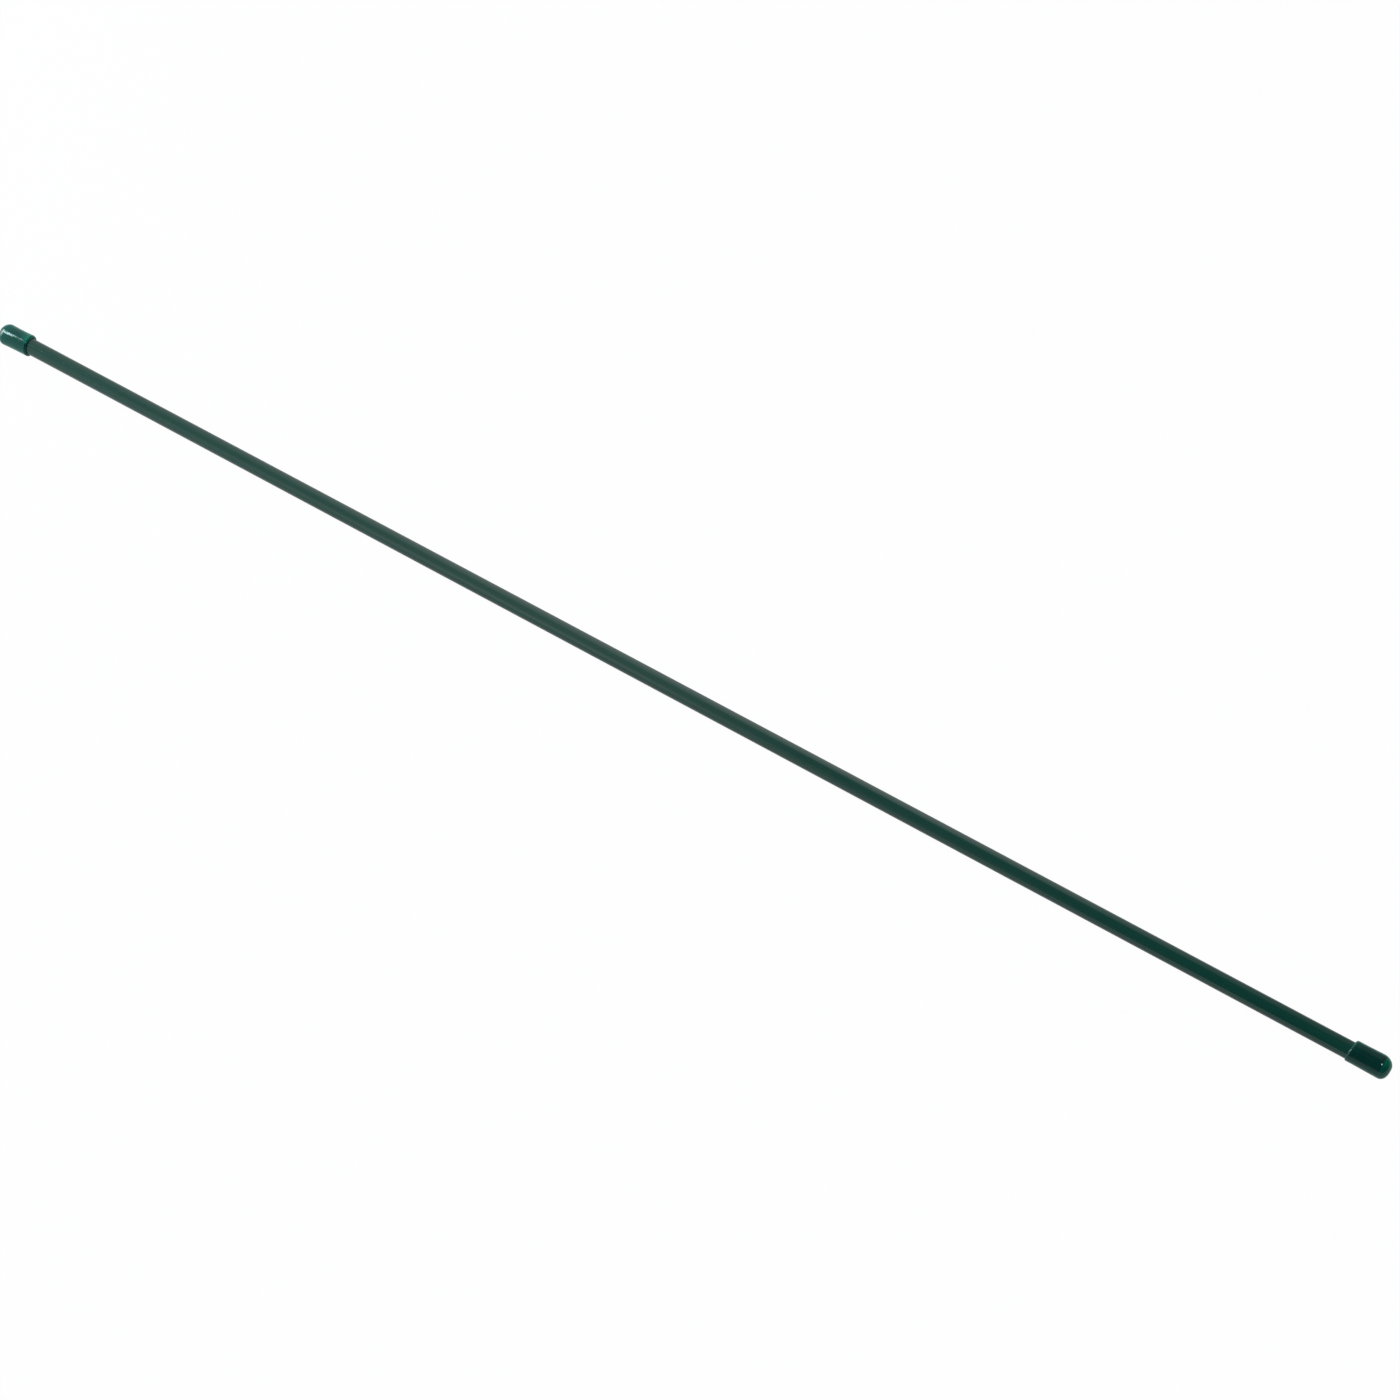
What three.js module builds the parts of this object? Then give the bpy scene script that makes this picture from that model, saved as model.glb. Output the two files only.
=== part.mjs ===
// Garden stake: a thin steel tube in a green plastic coat, with a push-on vinyl cap on each end.
// Millimetres, +Z up. The stake lies along X on its two caps, and the origin is on the ground below its middle.
import * as THREE from "three";

// Sizes of the whole stake
const tubeLength = 740; // the steel, from cut end to cut end
const coatedDiameter = 8; // outside the plastic coat
const coatThickness = 0.4;
const steelWall = 0.5;
const bondGap = 0.03; // between the steel and the coat drawn over it
const coatSetback = 0.3; // the coat shrinks back this far from the steel's cut ends

// The weld line inside the rolled tube
const beadWidth = 1.1;
const beadHeight = 0.22;

// The dip-moulded caps: both leave one mould, and each is trimmed to its own length.
const topGrip = 14.2; // how far the top cap reaches along the tube
const footGrip = 13.2;
const mouthSlant = 0.6; // the trim runs askew by this much across the mouth
const capWall = 1; // at the mouth
const capClearance = 0.05; // all round, between the coat and the socket
const domeRise = 5; // how far the round end stands past the tube
const tipWall = 1.4; // dipping leaves the tip thicker than the sides
const domeSwell = 0.15; // the round end is wider than the mouth by this much, all round
const waistDraw = 0.06; // and the middle is narrower than the mouth
const lipRound = 0.4; // the mouth's rounded outer edge
const mouthBevel = 0.25; // and its bevelled inner edge

// Fineness of the round shapes
const roundSides = 36;
const domeSteps = 9;
const wallSteps = 9;
const lipSteps = 3;
const beadSteps = 3;

const coatRadius = coatedDiameter / 2;
const steelRadius = coatRadius - coatThickness - bondGap;
const boreRadius = steelRadius - steelWall;
const socketRadius = coatRadius + capClearance;
const lipRadius = socketRadius + capWall;
const domeRadius = lipRadius + domeSwell;
const waistRadius = lipRadius - waistDraw;

// Every ring has its flat sides at the same angles, with one flat side down.
const halfSide = Math.PI / roundSides;
const axisHeight = domeRadius * Math.cos(halfSide);

// The side where both caps are trimmed most, in flat sides round from level.
const trimTurn = 3;

const steel = new THREE.MeshStandardMaterial({ name: "galvanised_steel", color: 0xa7abac });
steel.metalness = 1;
steel.roughness = 0.38;
const coat = new THREE.MeshStandardMaterial({ name: "green_coat", color: 0x1b4038 });
coat.metalness = 0;
coat.roughness = 0.42;
const vinyl = new THREE.MeshStandardMaterial({ name: "green_vinyl", color: 0x10473b });
vinyl.metalness = 0;
vinyl.roughness = 0.2;

// The corners of one ring, the first just past angle zero and the last just before it.
function ringPoints(radius) {
  return Array.from({ length: roundSides }, (_, i) => {
    const angle = (2 * i + 1) * halfSide;
    return new THREE.Vector2(radius * Math.cos(angle), radius * Math.sin(angle));
  });
}

// The rolled steel tube, with the low ridge that welding leaves along its bore.
function steelTubeGeometry() {
  const halfWidth = beadWidth / 2;
  const beadAngle = Math.asin(halfWidth / boreRadius);
  const wallRise = boreRadius * (1 - Math.cos(beadAngle));
  const beadRise = beadHeight - wallRise;
  const beadRadius = (halfWidth ** 2 + beadRise ** 2) / (2 * beadRise);
  const beadCentre = boreRadius - beadHeight + beadRadius;
  const beadHalf = Math.asin(halfWidth / beadRadius);
  const bore = ringPoints(boreRadius).filter((p) => Math.abs(p.angle() - Math.PI) < Math.PI - beadAngle);
  for (let i = 0; i <= beadSteps; i++) {
    const angle = Math.PI + beadHalf * (1 - (2 * i) / beadSteps);
    bore.push(new THREE.Vector2(beadCentre + beadRadius * Math.cos(angle), beadRadius * Math.sin(angle)));
  }
  const section = new THREE.Shape(ringPoints(steelRadius));
  section.holes.push(new THREE.Path(bore));
  const geometry = new THREE.ExtrudeGeometry(section, { depth: tubeLength, bevelEnabled: false });
  return geometry.rotateY(Math.PI / 2).translate(-tubeLength / 2, 0, 0);
}

// Turns a closed profile of radius and distance about the stake's axis.
function revolve(profile) {
  return new THREE.LatheGeometry(profile, roundSides, halfSide).rotateZ(-Math.PI / 2);
}

// The plastic coat, a plain sleeve over the steel.
function coatGeometry() {
  const half = tubeLength / 2 - coatSetback;
  const inner = coatRadius - coatThickness;
  const corners = [[inner, -half], [coatRadius, -half], [coatRadius, half], [inner, half], [inner, -half]];
  return revolve(corners.map(([radius, along]) => new THREE.Vector2(radius, along)));
}

// One cap, a round-ended cup with a faint waist. Its mouth is at zero, and its dome starts where its grip ends.
function capGeometry(grip) {
  const socket = new THREE.EllipseCurve(0, grip, socketRadius, domeRise - tipWall, Math.PI / 2, 0, true);
  const mouth = [new THREE.Vector2(socketRadius, mouthBevel), new THREE.Vector2(socketRadius + mouthBevel, 0)];
  const lip = new THREE.EllipseCurve(lipRadius - lipRound, lipRound, lipRound, lipRound, -Math.PI / 2, 0);
  const wall = new THREE.SplineCurve([
    new THREE.Vector2(lipRadius, lipRound),
    new THREE.Vector2(waistRadius, grip / 2),
    new THREE.Vector2(domeRadius, grip),
  ]);
  const dome = new THREE.EllipseCurve(0, grip, domeRadius, domeRise, 0, Math.PI / 2);
  const geometry = revolve([
    ...socket.getPoints(domeSteps),
    ...mouth,
    ...lip.getPoints(lipSteps),
    ...wall.getPoints(wallSteps).slice(1),
    ...dome.getPoints(domeSteps).slice(1),
  ]);
  skewMouth(geometry, grip);
  return geometry;
}

// Tips a cap's mouth by sliding each point along the cap, fully at the mouth and less and less up to the dome.
function skewMouth(geometry, grip) {
  const points = geometry.getAttribute("position");
  for (let i = 0; i < points.count; i++) {
    const along = points.getX(i);
    const share = Math.max(0, 1 - along / grip);
    points.setX(i, along + (mouthSlant / 2) * share * (points.getY(i) / lipRadius));
  }
}

function part(name, geometry, material) {
  const mesh = new THREE.Mesh(geometry, material);
  mesh.name = name;
  return mesh;
}

// A cap pushed on until the tube's end meets the start of the dome.
function cap(name, end, grip) {
  const mesh = part(name, capGeometry(grip), vinyl);
  mesh.position.x = end * (tubeLength / 2 - grip);
  mesh.rotation.set(trimTurn * 2 * halfSide, end > 0 ? 0 : Math.PI, 0);
  return mesh;
}

const stake = new THREE.Group();
stake.position.z = axisHeight;
stake.add(
  part("steel_tube", steelTubeGeometry(), steel),
  part("plastic_coat", coatGeometry(), coat),
  cap("top_cap", -1, topGrip),
  cap("foot_cap", 1, footGrip),
);

export default stake;
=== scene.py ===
import math

import bmesh
import bpy
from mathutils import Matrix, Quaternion, Vector


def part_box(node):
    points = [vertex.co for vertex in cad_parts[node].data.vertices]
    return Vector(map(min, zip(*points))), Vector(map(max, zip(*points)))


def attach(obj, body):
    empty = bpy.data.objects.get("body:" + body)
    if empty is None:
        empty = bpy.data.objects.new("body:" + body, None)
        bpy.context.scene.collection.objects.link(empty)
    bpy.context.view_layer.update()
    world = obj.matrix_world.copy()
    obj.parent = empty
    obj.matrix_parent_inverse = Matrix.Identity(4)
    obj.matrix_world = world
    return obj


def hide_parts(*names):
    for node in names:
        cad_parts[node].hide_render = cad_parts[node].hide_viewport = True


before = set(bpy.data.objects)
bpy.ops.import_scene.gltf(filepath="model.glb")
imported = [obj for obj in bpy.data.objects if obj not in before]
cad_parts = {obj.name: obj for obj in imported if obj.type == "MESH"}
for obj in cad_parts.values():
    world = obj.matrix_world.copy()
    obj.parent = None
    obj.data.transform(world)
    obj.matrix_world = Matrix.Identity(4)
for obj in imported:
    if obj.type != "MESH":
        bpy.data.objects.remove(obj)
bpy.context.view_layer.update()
mm = 0.001

# The stake lies along X. Its rings have flat sides in the frame, so the true round is a little larger.
frameSides = 36
toRound = 1 / math.cos(math.pi / frameSides)
coatLow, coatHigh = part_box("plastic_coat")
steelLow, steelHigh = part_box("steel_tube")
axisZ = (coatLow.z + coatHigh.z) / 2
coatRadius = (coatHigh.z - coatLow.z) / 2 * toRound
steelRadius = (steelHigh.z - steelLow.z) / 2 * toRound
coatEnd = coatHigh.x
steelEnd = steelHigh.x
smoothAngle = math.radians(50)  # edges sharper than this stay sharp in the shading
rimAngle = math.radians(60)  # and those sharper than this get a rounded rim
rimSteps = 3
print("frame loaded, stake", round(2 * steelEnd / mm), "mm of tube")


photoCamera = {
    "spot": (0.4692, -0.6546, 1.0781),
    "turn": (36.25, 0, 33.47),  # degrees
    "lens": 76.59,
    "film": 36,
}


def addCamera(values):
    turn = [math.radians(angle) for angle in values["turn"]]
    bpy.ops.object.camera_add(location=values["spot"], rotation=turn)
    camera = bpy.context.object
    camera.name = "photo_camera"
    camera.data.lens = values["lens"]
    camera.data.sensor_width = values["film"]
    bpy.context.scene.camera = camera


# A Wire is one socket. Python's operators on it add Math nodes.
class Wire:
    def __init__(self, graph, socket):
        self.graph = graph
        self.socket = socket

    def maths(self, operation, *values):
        return self.graph.add("ShaderNodeMath", {"operation": operation}, dict(enumerate(values)))

    def __add__(self, other):
        return self.maths("ADD", self, other)

    def __radd__(self, other):
        return self.maths("ADD", other, self)

    def __sub__(self, other):
        return self.maths("SUBTRACT", self, other)

    def __rsub__(self, other):
        return self.maths("SUBTRACT", other, self)

    def __mul__(self, other):
        return self.maths("MULTIPLY", self, other)

    def __rmul__(self, other):
        return self.maths("MULTIPLY", other, self)

    def __abs__(self):
        return self.maths("ABSOLUTE", self)

    def orMore(self, other):
        return self.maths("MAXIMUM", self, other)


class Graph:
    def __init__(self, owner):  # a material or the world
        owner.use_nodes = True
        self.tree = owner.node_tree
        self.tree.nodes.clear()

    # Any node: its settings are made first, then the values and wires of its sockets.
    def add(self, kind, settings=None, sockets=None, output=0):
        node = self.tree.nodes.new(kind)
        for name, value in (settings or {}).items():
            setattr(node, name, value)
        for name, value in (sockets or {}).items():
            if isinstance(value, Wire):
                self.tree.links.new(value.socket, node.inputs[name])
            else:
                node.inputs[name].default_value = value
        return Wire(self, node.outputs[output]) if node.outputs else None

    def split(self, vector):
        first = self.add("ShaderNodeSeparateXYZ", sockets={0: vector})
        return [Wire(self, socket) for socket in first.socket.node.outputs]

    # 0 below low and 1 above high, with soft ends; the two may also be given the other way round.
    def rise(self, value, low, high):
        sockets = {"Value": value, "From Min": low, "From Max": high}
        return self.add("ShaderNodeMapRange", {"interpolation_type": "SMOOTHSTEP"}, sockets)

    # A Mix node's sockets by number: 0 is the share, and 6 and 7 are its two colours.
    def blend(self, share, first, second):
        sockets = {0: share, 6: first, 7: second}
        return self.add("ShaderNodeMix", {"data_type": "RGBA"}, sockets, output=2)

    # The object's own coordinates, which Texture Coordinate gives as its fourth output.
    def objectPlace(self):
        return self.add("ShaderNodeTexCoord", output=3)

    # Noise on the object's own place, with so many lumps per metre along X, Y and Z.
    def noise(self, lumps, detail):
        place = self.add("ShaderNodeMapping", sockets={"Vector": self.objectPlace(), "Scale": lumps})
        return self.add("ShaderNodeTexNoise", sockets={"Vector": place, "Scale": 1.0, "Detail": detail})

    def bump(self, height, distance, under=None):
        sockets = {"Height": height, "Distance": distance, "Strength": 1.0}
        if under:
            sockets["Normal"] = under
        return self.add("ShaderNodeBump", sockets=sockets)


# The studio: a pale sweep that is brighter on the left, a darker ceiling and front, and four lamps.
studio = {
    "floorSize": 12,
    "floorDrop": 0.02 * mm,
    "floorColour": (0.6, 0.6, 0.6, 1),
    "floorGlow": 0.98,  # share of the floor that shows as plain white
    "floorMirrorGlow": 0.5,  # the same in mirror images, which keep more of its shading
    "floorMirrorWhite": 0.74,  # and how bright its plain white is there
    "white": (1, 1, 1, 1),
    "sweepRight": (0.27, 0.27, 0.28, 1),
    "sweepLeft": (1.15, 1.15, 1.13, 1),
    "sweepTurn": (-0.27, -0.08),  # where left gives way to right: how much a direction points along X
    "farLeft": (-0.38, -0.56),  # the sweep's far ends lose light
    "farLeftLoss": 0.4,
    "farRight": (0.1, 0.6),
    "farRightLoss": 0.8,
    "ceilingTilt": 0.36,  # the ceiling and the dark front lean towards the viewer
    "ceilingEdge": (0.64, 0.96),
    "ceilingLoss": 0.5,
    "frontTilt": 0.9,
    "frontEdge": (0.1, 0.95),
    "frontLoss": 0.93,
    "frontTurns": ((-0.36, -0.27, 0.75), (-0.27, -0.1, 0.25)),  # it darkens in two steps, left to right
    "lamps": [
        {"name": "key_lamp", "spot": (-1.53, -0.29, 0.78), "size": (0.62, 0.62), "roll": 0,
         "watts": 20, "colour": (0.84, 1, 1.04)},
        {"name": "fill_lamp", "spot": (-1.72, -0.54, 0.36), "size": (0.9, 0.9), "roll": 0,
         "watts": 15, "colour": (1, 1, 1)},
        {"name": "right_lamp", "spot": (0.6, -0.27, 1.48), "size": (0.25, 0.25), "roll": 0,
         "watts": 7, "colour": (0.65, 1, 0.97)},
        {"name": "glint_lamp", "spot": (-1.395, -0.42, 1.2), "size": (0.5, 0.13), "roll": -36,
         "watts": 6.8, "colour": (0.68, 1, 1)},
    ],
}


# A lamp faces the middle of the stake, and its roll is in degrees about its own beam.
def addLamp(values):
    aim = (-Vector(values["spot"])).to_track_quat("-Z", "Y")
    roll = Quaternion((0, 0, 1), math.radians(values["roll"]))
    bpy.ops.object.light_add(type="AREA", location=values["spot"], rotation=(aim @ roll).to_euler())
    lamp = bpy.context.object
    lamp.name = values["name"]
    lamp.data.shape = "RECTANGLE"
    lamp.data.size, lamp.data.size_y = values["size"]
    lamp.data.energy = values["watts"]
    lamp.data.color = values["colour"]


def addFloor(values):
    bpy.ops.mesh.primitive_plane_add(size=values["floorSize"], location=(0, 0, -values["floorDrop"]))
    floor = bpy.context.object
    floor.name = "studio_floor"
    bpy.ops.object.transform_apply(location=True)
    material = bpy.data.materials.new("studio_floor")
    graph = Graph(material)
    paper = graph.add("ShaderNodeBsdfDiffuse", sockets={"Color": values["floorColour"]})
    camera, mirror, clear = rayKinds(graph, "Is Camera Ray", "Is Glossy Ray", "Is Transmission Ray")
    direct = camera.orMore(clear)
    seen = (direct * values["floorGlow"]).orMore(mirror * values["floorMirrorGlow"])
    white = direct.orMore(values["floorMirrorWhite"])
    glow = graph.add("ShaderNodeEmission", sockets={"Strength": white})
    surface = graph.add("ShaderNodeMixShader", sockets={0: seen, 1: paper, 2: glow})
    graph.add("ShaderNodeOutputMaterial", sockets={"Surface": surface})
    floor.data.materials.append(material)


def rayKinds(graph, *names):
    path = graph.add("ShaderNodeLightPath").socket.node.outputs
    return [Wire(graph, path[name]) for name in names]


def paintWorld(values):
    world = bpy.data.worlds.new("studio_world")
    bpy.context.scene.world = world
    graph = Graph(world)
    x, y, z = graph.split(graph.add("ShaderNodeTexCoord"))  # in a world this is the ray's direction
    turn = graph.rise(x, values["sweepTurn"][1], values["sweepTurn"][0])
    sweep = graph.blend(turn, values["sweepRight"], values["sweepLeft"])
    left = 1 - graph.rise(x, *values["farLeft"]) * values["farLeftLoss"]
    right = 1 - graph.rise(x, *values["farRight"]) * values["farRightLoss"]
    overhead = graph.rise(z - y * values["ceilingTilt"], *values["ceilingEdge"]) * values["ceilingLoss"]
    front = graph.rise(z - y * values["frontTilt"], *values["frontEdge"]) * values["frontLoss"]
    turned = sum(graph.rise(x, start, stop) * share for start, stop, share in values["frontTurns"])
    dark = left * right * (1 - overhead) * (1 - front * turned)
    camera, clear = rayKinds(graph, "Is Camera Ray", "Is Transmission Ray")
    seen = camera.orMore(clear)
    room = graph.blend(seen, sweep, values["white"])
    sockets = {"Color": room, "Strength": dark.orMore(seen)}
    background = graph.add("ShaderNodeBackground", sockets=sockets)
    graph.add("ShaderNodeOutputWorld", sockets={"Surface": background})


addCamera(photoCamera)
addFloor(studio)
paintWorld(studio)
for lampValues in studio["lamps"]:
    addLamp(lampValues)
bpy.context.scene.view_settings.view_transform = "Standard"
print("studio ready")


steelFinish = {
    "zinc": (0.5, 0.51, 0.52, 1),
    "zincDull": (0.36, 0.37, 0.38, 1),
    "cut": (0.66, 0.65, 0.64, 1),
    "cutDark": (0.4, 0.39, 0.38, 1),
    "cutReach": (0.06 * mm, 0.02 * mm),  # before the tube's end
    "weldHeat": (0.2, 0.2, 0.24, 1),
    "weldReach": (1.1 * mm, 0.4 * mm),
    "sawDepth": 0.02 * mm,
    "rolledDepth": 0.01 * mm,
    "spangleLumps": (300, 700, 700),
    "rolledLumps": (25, 5000, 5000),
    "sawLumps": (30, 900, 14000),
    "roughness": 0.3,
    "spangleRoughness": 0.16,
    "weldRoughness": 0.15,
    "cutRoughness": 0.05,
}


def makeSteel(values):
    material = bpy.data.materials.new("galvanised_steel")
    graph = Graph(material)
    spangle = graph.noise(values["spangleLumps"], detail=3)
    rolled = graph.noise(values["rolledLumps"], detail=2)
    saw = graph.noise(values["sawLumps"], detail=3)
    x, y, z = graph.split(graph.objectPlace())
    cut = graph.rise(abs(x), *[steelEnd - reach for reach in values["cutReach"]])
    below = graph.rise(axisZ - z, 0, steelRadius)
    weld = graph.rise(abs(y), *values["weldReach"]) * below * (1 - cut)
    colour = graph.blend(spangle, values["zincDull"], values["zinc"])
    colour = graph.blend(weld, colour, values["weldHeat"])
    colour = graph.blend(cut, colour, graph.blend(saw, values["cutDark"], values["cut"]))
    roughness = (values["roughness"] + values["spangleRoughness"] * spangle
                 + values["weldRoughness"] * weld + values["cutRoughness"] * cut)
    normal = graph.bump(rolled * (1 - cut), values["rolledDepth"])
    normal = graph.bump(saw * cut, values["sawDepth"], normal)
    sockets = {"Base Color": colour, "Metallic": 1.0, "Roughness": roughness, "Normal": normal}
    surface = graph.add("ShaderNodeBsdfPrincipled", sockets=sockets)
    graph.add("ShaderNodeOutputMaterial", sockets={"Surface": surface})
    return material


coatFinish = {
    "deep": (0.0038, 0.036, 0.027, 1),
    "pale": (0.006, 0.048, 0.0365, 1),
    "roughness": 0.07,
    "patchRoughness": 0.06,
    "refraction": 1.5,
    "streakDepth": 0.012 * mm,
    "grainDepth": 0.006 * mm,
    "streakLumps": (9, 1400, 1400),
    "grainLumps": (2600, 2600, 2600),
    "patchLumps": (60, 240, 240),
    "streakShare": 0.6,  # of the colour's changes; the patches make the rest
}


def makeCoat(values):
    material = bpy.data.materials.new("green_coat")
    graph = Graph(material)
    streaks = graph.noise(values["streakLumps"], detail=3)
    grain = graph.noise(values["grainLumps"], detail=2)
    patches = graph.noise(values["patchLumps"], detail=2)
    share = values["streakShare"]
    colour = graph.blend(streaks * share + patches * (1 - share), values["deep"], values["pale"])
    roughness = values["roughness"] + values["patchRoughness"] * patches
    lines = graph.bump(streaks, values["streakDepth"])
    normal = graph.bump(grain, values["grainDepth"], lines)
    sockets = {"Base Color": colour, "Roughness": roughness, "Normal": normal,
               "IOR": values["refraction"]}
    surface = graph.add("ShaderNodeBsdfPrincipled", sockets=sockets)
    graph.add("ShaderNodeOutputMaterial", sockets={"Surface": surface})
    return material


vinylFinish = {
    "roughness": 0.1,
    "smearRoughness": 0.06,
    "sheen": 0.15,  # light that comes out of the rim of the see-through vinyl
    "sheenColour": (0.1, 1, 0.8, 1),
    "waveDepth": 0.015 * mm,
    "waveLumps": (160, 220, 220),
    "smearLumps": (180, 260, 260),
    "paintedGlowReach": (2.0 * mm, 5.5 * mm),  # how far painted light, glowing in from the cut mouth, reaches
    "paintedLitSide": (-1.0 * mm, 3.0 * mm),  # and where the painted lit side starts and ends, towards the trimmed side; the other side is painted as shaded
    "cutReach": (0.3 * mm, 1.6 * mm),  # the cut is painted brightest, as light let out of it
    "paintedFaceLightReach": (0.05 * mm, 0.3 * mm),  # and its own face is painted lighter, as light on a face that the lamps leave in shade
}


def makeVinyl(values, cap):
    material = bpy.data.materials.new(cap["name"] + "_vinyl")
    graph = Graph(material)
    low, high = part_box(cap["node"])
    mouth = min(abs(low.x), abs(high.x)) + cap["mouthSlant"] / 2 - cap["mouthOut"]
    x, y, z = graph.split(graph.objectPlace())
    lean = math.radians(capSkin["trimSide"])
    towards = y * math.sin(lean) + (z - axisZ) * math.cos(lean)
    along = abs(x) - mouth - towards * (cap["mouthSlant"] / 2 / cap["mouthRadius"])
    # Painted light and shade: the side towards the trimmed side is painted as lit, the other side as
    # shaded.
    side = graph.rise(towards, *values["paintedLitSide"])
    # Painted light: a glow coming in from the cut mouth, strongest at the cut itself.
    paintedGlowShare = 1 - graph.rise(along, *values["paintedGlowReach"])
    cut = 1 - graph.rise(along, *values["cutReach"])
    # Painted light: the dome is painted lighter, as light through the vinyl where no tube is behind it,
    # and the rest darker over the tube.
    dome = graph.rise(abs(x), *[steelEnd + reach for reach in cap["domeReach"]])
    colour = graph.blend(paintedGlowShare * side, cap["overTube"], cap["paintedMouthGlow"])
    colour = graph.blend(cut, colour, graph.blend(side, cap["cutShade"], cap["cutLit"]))
    # Painted light: the cut face is painted lighter than the lamps leave it.
    face = 1 - graph.rise(along, *values["paintedFaceLightReach"])
    colour = graph.blend(face, colour, cap["face"])
    colour = graph.blend(dome, colour, graph.blend(side, cap["clearShade"], cap["clearLit"]))
    smears = graph.noise(values["smearLumps"], detail=3)
    waves = graph.noise(values["waveLumps"], detail=1)
    sockets = {"Base Color": colour, "IOR": cap["refraction"],
               "Sheen Weight": values["sheen"], "Sheen Tint": values["sheenColour"],
               "Roughness": values["roughness"] + values["smearRoughness"] * smears,
               "Normal": graph.bump(waves, values["waveDepth"])}
    surface = graph.add("ShaderNodeBsdfPrincipled", sockets=sockets)
    graph.add("ShaderNodeOutputMaterial", sockets={"Surface": surface})
    return material


def clearSelection():
    bpy.ops.object.select_all(action="DESELECT")


# In edit mode, selects the points for which the test says yes; it is given a point's place.
def selectPoints(piece, test):
    bpy.ops.mesh.select_mode(type="VERT")
    bpy.ops.mesh.select_all(action="DESELECT")
    mesh = bmesh.from_edit_mesh(piece.data)
    for point in mesh.verts:
        point.select = not point.hide and test(point.co)
    mesh.select_flush_mode()
    bmesh.update_edit_mesh(piece.data)


# How far a place is from the stake's axis.
def fromAxis(place):
    return math.hypot(place.y, place.z - axisZ)


def applyModifier(piece, kind, **settings):
    modifier = piece.modifiers.new(kind.lower(), kind)
    for name, value in settings.items():
        setattr(modifier, name, value)
    bpy.ops.object.modifier_apply(modifier=modifier.name)


def addWaves(piece, values, group=""):
    texture = bpy.data.textures.new(piece.name + "_waves", "CLOUDS")
    texture.noise_scale = values["waveSize"]
    applyModifier(piece, "DISPLACE", texture=texture, strength=values["waves"], vertex_group=group)


# A round sleeve along the whole stake, its wall inside the given radius and its rims softened.
def makeSleeve(values, radius, end):
    clearSelection()
    bpy.ops.mesh.primitive_circle_add(vertices=values["sides"], radius=radius, fill_type="NGON",
                                      location=(-end, 0, axisZ), rotation=(0, math.pi / 2, 0))
    piece = bpy.context.object
    piece.name = values["name"]
    bpy.ops.object.transform_apply(location=True, rotation=True)
    bpy.ops.object.mode_set(mode="EDIT")
    bpy.ops.mesh.extrude_region_move(TRANSFORM_OT_translate={"value": (2 * end, 0, 0)})
    bpy.ops.mesh.select_mode(type="FACE")
    mesh = bmesh.from_edit_mesh(piece.data)
    for face in mesh.faces:
        face.select = abs(face.normal.x) > 0.5  # the two flat ends
    bmesh.update_edit_mesh(piece.data)
    bpy.ops.mesh.delete(type="ONLY_FACE")
    bpy.ops.mesh.select_mode(type="EDGE")
    bpy.ops.mesh.select_all(action="DESELECT")
    mesh = bmesh.from_edit_mesh(piece.data)
    for edge in mesh.edges:
        length = abs(edge.verts[0].co.x - edge.verts[1].co.x)
        edge.select = length > end  # those that run from one end to the other
    bmesh.update_edit_mesh(piece.data)
    bpy.ops.mesh.subdivide(number_cuts=values["rings"])
    bpy.ops.mesh.select_all(action="SELECT")
    bpy.ops.mesh.normals_make_consistent(inside=False)
    bpy.ops.object.mode_set(mode="OBJECT")
    if values["waves"]:
        addWaves(piece, values)
    applyModifier(piece, "SOLIDIFY", thickness=values["wall"], offset=-1)
    applyModifier(piece, "BEVEL", width=values["rimRound"], segments=rimSteps, limit_method="ANGLE",
                  angle_limit=rimAngle)
    bpy.ops.object.shade_smooth_by_angle(angle=smoothAngle)
    return piece


steelTube = {
    "name": "rolled_steel_tube",
    "wall": 0.5 * mm,
    "rimRound": 0.05 * mm,
    "waves": 0,
    "sides": 96,
    "rings": 1,
    "beadWidth": 1.1 * mm,  # the ridge of the weld, inside
    "beadHeight": 0.22 * mm,
    "beadTop": 0.05 * mm,
}


def makeSteelTube(values):
    piece = makeSleeve(values, steelRadius, steelEnd)
    bpy.ops.object.mode_set(mode="EDIT")
    # The outside is hidden, so that only the bore is raised along the weld.
    selectPoints(piece, lambda place: fromAxis(place) > steelRadius - values["wall"] / 2)
    bpy.ops.mesh.hide()
    selectPoints(piece, lambda place: place.z < axisZ and abs(place.y) < values["beadTop"])
    bpy.ops.transform.translate(value=(0, 0, values["beadHeight"]),
                                use_proportional_edit=True, proportional_edit_falloff="SMOOTH",
                                proportional_size=values["beadWidth"] / 2)
    bpy.ops.mesh.reveal(select=False)
    bpy.ops.object.mode_set(mode="OBJECT")
    return piece


plasticCoat = {
    "name": "extruded_green_coat",
    "wall": 0.4 * mm,
    "rimRound": 0.08 * mm,
    "waves": 0.02 * mm,
    "waveSize": 9 * mm,
    "sides": 96,
    "rings": 90,
}


capSkin = {
    "socketGap": 0.05 * mm,
    "mouthBevel": 0.12 * mm,
    "lipFlat": 0.1 * mm,  # what is left of the cut face between the bevel and the rounded lip
    "lipReach": 0.8 * mm,
    "trimSide": 60,  # degrees about X, from up to the side that is trimmed most
    "tipWall": 1.4 * mm,
    "waves": 0.04 * mm,  # left by the dipping
    "waveSize": 5 * mm,
    "flatFade": 2.5,  # the powers by which the dome's flatness and turn fade away along the wall
    "turnFade": 3,
    "sides": 128,
    "lipSteps": 6,
    "wallSteps": 40,
    "domeSteps": 28,
    "poleTurn": 89.5,  # degrees round the dome to its last ring
}

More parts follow.
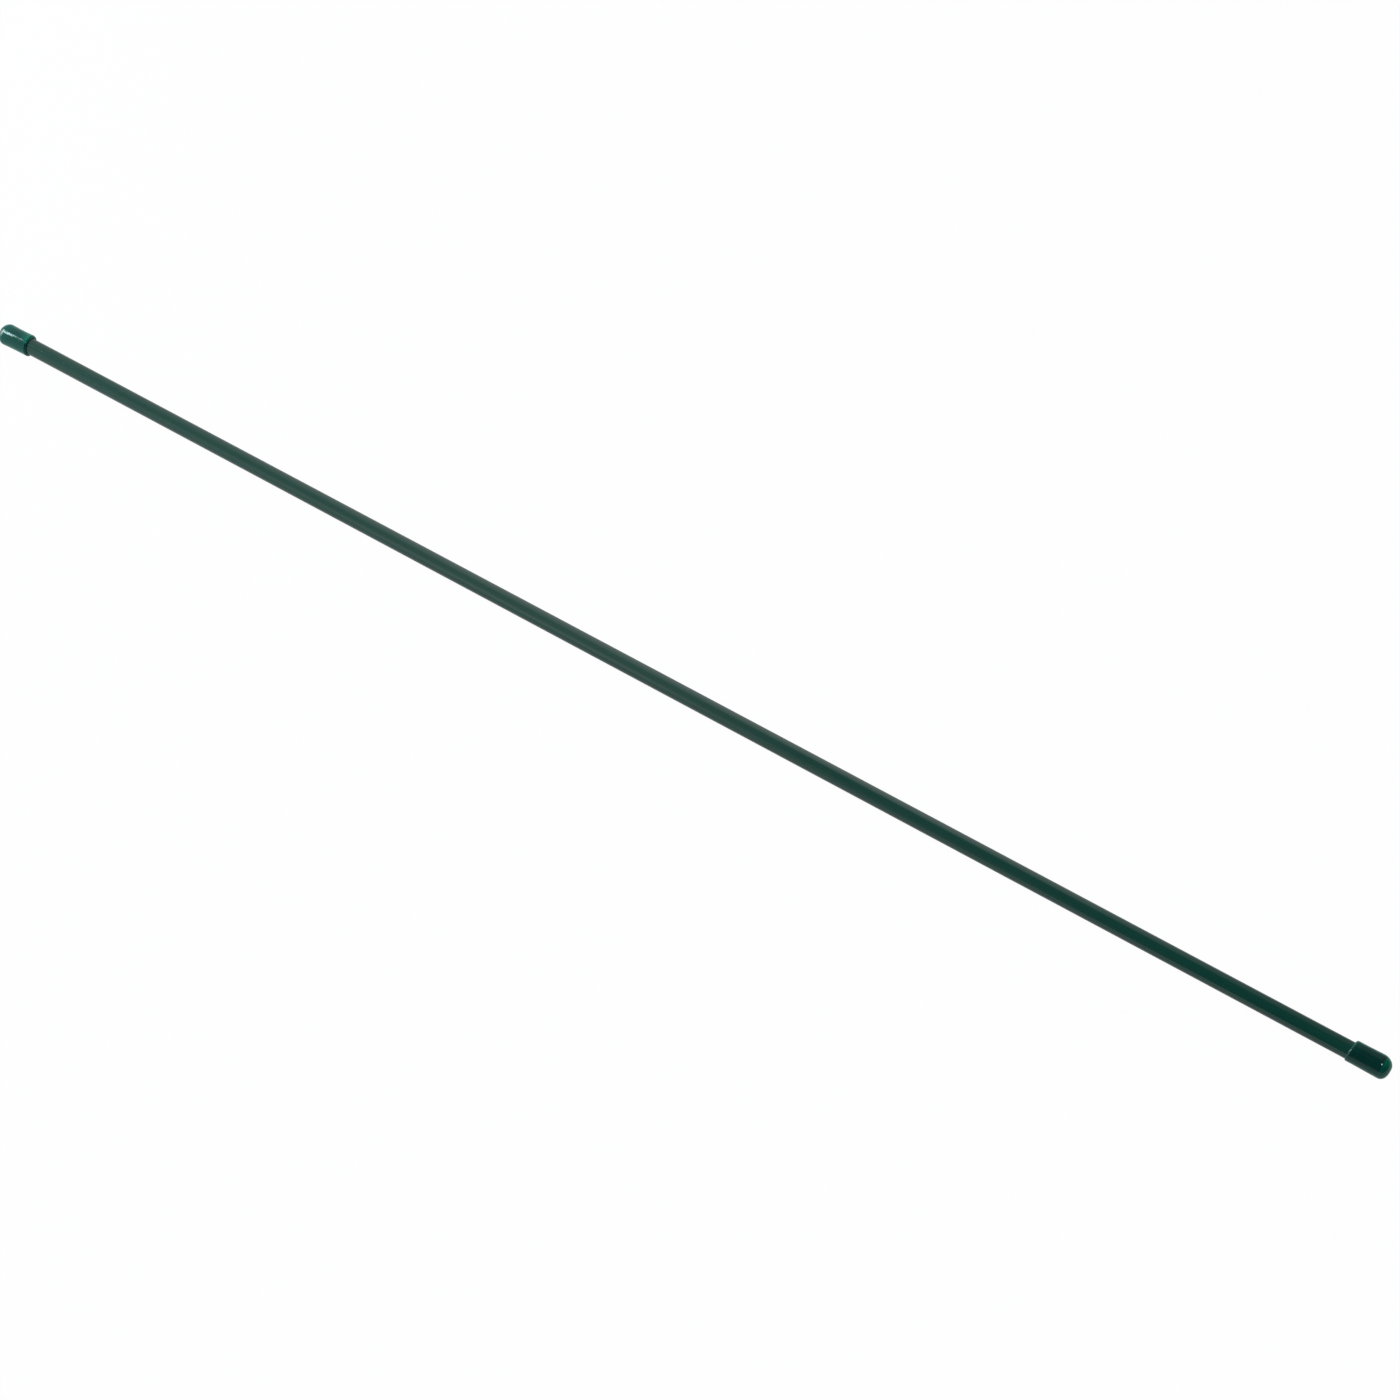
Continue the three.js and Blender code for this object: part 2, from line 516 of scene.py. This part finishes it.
# A middle is how far the skin's centre lies off the tube's axis: across the trimmed side, then towards it.
topCap = {
    "name": "top_end_cap",
    "node": "top_cap",
    "mouthSlant": 1.5 * mm,  # the trim runs askew by this much across the mouth
    "mouthRadius": 5.32 * mm,
    "waistRadius": 5.22 * mm,
    "domeRadius": 5.38 * mm,
    "mouthMiddle": (0, 0.14 * mm),
    "domeMiddle": (0, -0.12 * mm),
    "tipMiddle": (0, 0),
    "domeStart": 0.2 * mm,  # past the tube's end
    "domeTurn": 0,  # degrees
    "mouthFlat": 0.035,  # share of its width that the mouth loses across the trimmed side
    "domeFlat": 0.115,
    "domeFullness": 1.05,  # above 1 the dome is rounder than an ellipse
    "tipShort": 0.3 * mm,  # of its node's tip
    "mouthOut": 0.3 * mm,  # further over the coat than its node
    "refraction": 1.34,
    "domeReach": (-4.0 * mm, 1.5 * mm),  # past the tube's end; the dome is painted lighter there, as light through the vinyl with no tube behind it
    # Painted light and shade in these colours: overTube is painted darker, as the shade of the tube behind
    # the vinyl; the mouth glow and the cut are painted light; the Lit and Shade pairs are lit and shaded
    # copies of one vinyl; face and the clear dome are painted lighter.
    "overTube": (0.002, 0.04, 0.034, 1),
    "paintedMouthGlow": (0.001, 0.085, 0.056, 1),
    "cutLit": (0.001, 0.22, 0.135, 1),
    "cutShade": (0.002, 0.04, 0.035, 1),
    "face": (0.004, 0.16, 0.12, 1),
    "clearLit": (0.0016, 0.064, 0.05, 1),
    "clearShade": (0.0016, 0.051, 0.042, 1),
}
footCap = {
    "name": "foot_end_cap",
    "node": "foot_cap",
    "mouthSlant": 1.0 * mm,
    "mouthRadius": 4.96 * mm,
    "waistRadius": 4.99 * mm,
    "domeRadius": 5.14 * mm,
    "mouthMiddle": (0, 0.28 * mm),
    "domeMiddle": (0.12 * mm, 0.26 * mm),
    "tipMiddle": (0.1 * mm, 0.7 * mm),
    "domeStart": 0.7 * mm,
    "domeTurn": -8,
    "mouthFlat": 0,
    "domeFlat": 0,
    "domeFullness": 1.14,
    "tipShort": 0,
    "mouthOut": 0,
    "refraction": 1.38,
    "domeReach": (1.0 * mm, 2.2 * mm),
    # The foot cap's colours hold the same painted light and shade as the top cap's.
    "overTube": (0.0018, 0.023, 0.02, 1),
    "paintedMouthGlow": (0.0018, 0.032, 0.027, 1),
    "cutLit": (0.002, 0.055, 0.046, 1),
    "cutShade": (0.002, 0.032, 0.028, 1),
    "face": (0.003, 0.05, 0.04, 1),
    "clearLit": (0.0012, 0.145, 0.086, 1),
    "clearShade": (0.0016, 0.078, 0.056, 1),
}


def between(first, second, share):
    return [start + (stop - start) * share for start, stop in zip(first, second)]


# The skin is a row of rings. Each has its place along the cap, its radius, its middle, its turn towards
# the trimmed side and its width across that side, as a share of its height.
def outerRings(values, slant, domeStart, tip):
    rings = []
    lip = capSkin["lipReach"]
    lipStart = coatRadius + capSkin["socketGap"] + capSkin["mouthBevel"] + capSkin["lipFlat"]
    dome = math.radians(values["domeTurn"])
    for step in range(capSkin["lipSteps"] + 1):
        turn = math.pi / 2 * step / capSkin["lipSteps"]
        radius = lipStart + (values["mouthRadius"] - lipStart) * math.sin(turn)
        middle = between((0, 0), values["mouthMiddle"], math.sin(turn))
        flat = 1 - values["mouthFlat"] * math.sin(turn)
        rings.append((lip * (1 - math.cos(turn)), radius, middle, slant, flat))
    for step in range(1, capSkin["wallSteps"] + 1):
        share = step / capSkin["wallSteps"]
        # A curve through the mouth's, the waist's and the dome's radius.
        radius = (values["mouthRadius"] * (1 - 2 * share) * (1 - share)
                  + values["waistRadius"] * 4 * share * (1 - share)
                  + values["domeRadius"] * share * (2 * share - 1))
        middle = between(values["mouthMiddle"], values["domeMiddle"], share)
        turn = slant * (1 - share) + dome * share ** capSkin["turnFade"]
        flat = (1 - values["mouthFlat"] * (1 - share) ** 2
                - values["domeFlat"] * share ** capSkin["flatFade"])
        rings.append((lip + (domeStart - lip) * share, radius, middle, turn, flat))
    for step in range(1, capSkin["domeSteps"] + 1):
        turn = math.radians(capSkin["poleTurn"]) * step / capSkin["domeSteps"]
        middle = between(values["domeMiddle"], values["tipMiddle"], 1 - math.cos(turn))
        along = domeStart + (tip - domeStart) * math.sin(turn)
        radius = values["domeRadius"] * math.cos(turn) ** (1 / values["domeFullness"])
        rings.append((along, radius, middle, dome * math.cos(turn), 1 - values["domeFlat"]))
    return rings


# The socket is round about the tube, with a domed end.
def socketRings(slant, socket, grip, rise):
    rings = [(capSkin["mouthBevel"], socket, (0, 0), slant, 1), (grip, socket, (0, 0), 0, 1)]
    for step in range(1, capSkin["domeSteps"] + 1):
        turn = math.radians(capSkin["poleTurn"]) * step / capSkin["domeSteps"]
        rings.append((grip + rise * math.sin(turn), socket * math.cos(turn), (0, 0), 0, 1))
    return rings


# Extrudes the selected ring on and on, and closes it at the pole.
def pullRing(ring, rings, mouth, end):
    along, radius, middle, turn, flat = ring
    for nextAlong, nextRadius, nextMiddle, nextTurn, nextFlat in rings:
        across, side = nextMiddle
        share = nextRadius / radius
        centre = (end * (mouth + nextAlong), across, axisZ + side)
        step = (end * (nextAlong - along), across - middle[0], side - middle[1])
        bpy.ops.mesh.extrude_region_move(TRANSFORM_OT_translate={"value": step})
        bpy.ops.transform.resize(value=(share, share * nextFlat / flat, share), center_override=centre)
        bpy.ops.transform.rotate(value=end * (turn - nextTurn), orient_axis="Y", center_override=centre)
        along, radius, middle, turn, flat = nextAlong, nextRadius, nextMiddle, nextTurn, nextFlat
    bpy.ops.mesh.merge(type="CENTER")


def makeCap(values):
    low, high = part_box(values["node"])
    end = 1 if low.x > 0 else -1
    inner, outer = sorted((abs(low.x), abs(high.x)))
    mouth = inner + values["mouthSlant"] / 2 - values["mouthOut"]
    grip = steelEnd - mouth
    socket = coatRadius + capSkin["socketGap"]
    slant = math.asin(values["mouthSlant"] / 2 / values["mouthRadius"])
    mouthRing = (0, socket + capSkin["mouthBevel"], (0, 0), slant, 1)

    clearSelection()
    centre = (end * mouth, 0, axisZ)
    bpy.ops.mesh.primitive_circle_add(vertices=capSkin["sides"], radius=mouthRing[1], fill_type="NOTHING",
                                      location=centre, rotation=(0, math.pi / 2, 0))
    piece = bpy.context.object
    piece.name = values["name"]
    bpy.ops.object.transform_apply(location=True, rotation=True)
    bpy.ops.object.mode_set(mode="EDIT")
    bpy.ops.transform.rotate(value=-end * slant, orient_axis="Y", center_override=centre)
    rise = outer - steelEnd - capSkin["tipWall"]
    pullRing(mouthRing, socketRings(slant, socket, grip, rise), mouth, end)

    # The mouth is now the only open edge. Its group spreads to all that is extruded from it.
    bpy.ops.mesh.select_all(action="DESELECT")
    bpy.ops.mesh.select_non_manifold()
    bpy.ops.object.vertex_group_add()
    bpy.ops.object.vertex_group_assign()
    domeStart = grip + values["domeStart"]
    tip = outer - mouth - values["tipShort"]
    pullRing(mouthRing, outerRings(values, slant, domeStart, tip), mouth, end)
    bpy.ops.mesh.select_all(action="SELECT")
    bpy.ops.mesh.normals_make_consistent(inside=False)
    bpy.ops.transform.rotate(value=math.radians(capSkin["trimSide"]), orient_axis="X",
                             center_override=(0, 0, axisZ))
    bpy.ops.object.mode_set(mode="OBJECT")

    addWaves(piece, capSkin, piece.vertex_groups[0].name)
    bpy.ops.object.shade_smooth_by_angle(angle=smoothAngle)
    return piece


steel = makeSteel(steelFinish)
coat = makeCoat(coatFinish)
pieces = [
    (makeSteelTube(steelTube), steel, "tube", "steel_tube", "galvanised_steel"),
    (makeSleeve(plasticCoat, coatRadius, coatEnd), coat, "tube", "plastic_coat", "green_coat"),
    (makeCap(topCap), makeVinyl(vinylFinish, topCap), "top_cap", "top_cap", "green_vinyl"),
    (makeCap(footCap), makeVinyl(vinylFinish, footCap), "foot_cap", "foot_cap", "green_vinyl"),
]
for piece, material, body, node, slot in pieces:
    piece.data.materials.append(material)
    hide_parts(node)
    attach(piece, body)
    print(piece.name, len(piece.data.vertices), "points, rides on", body)
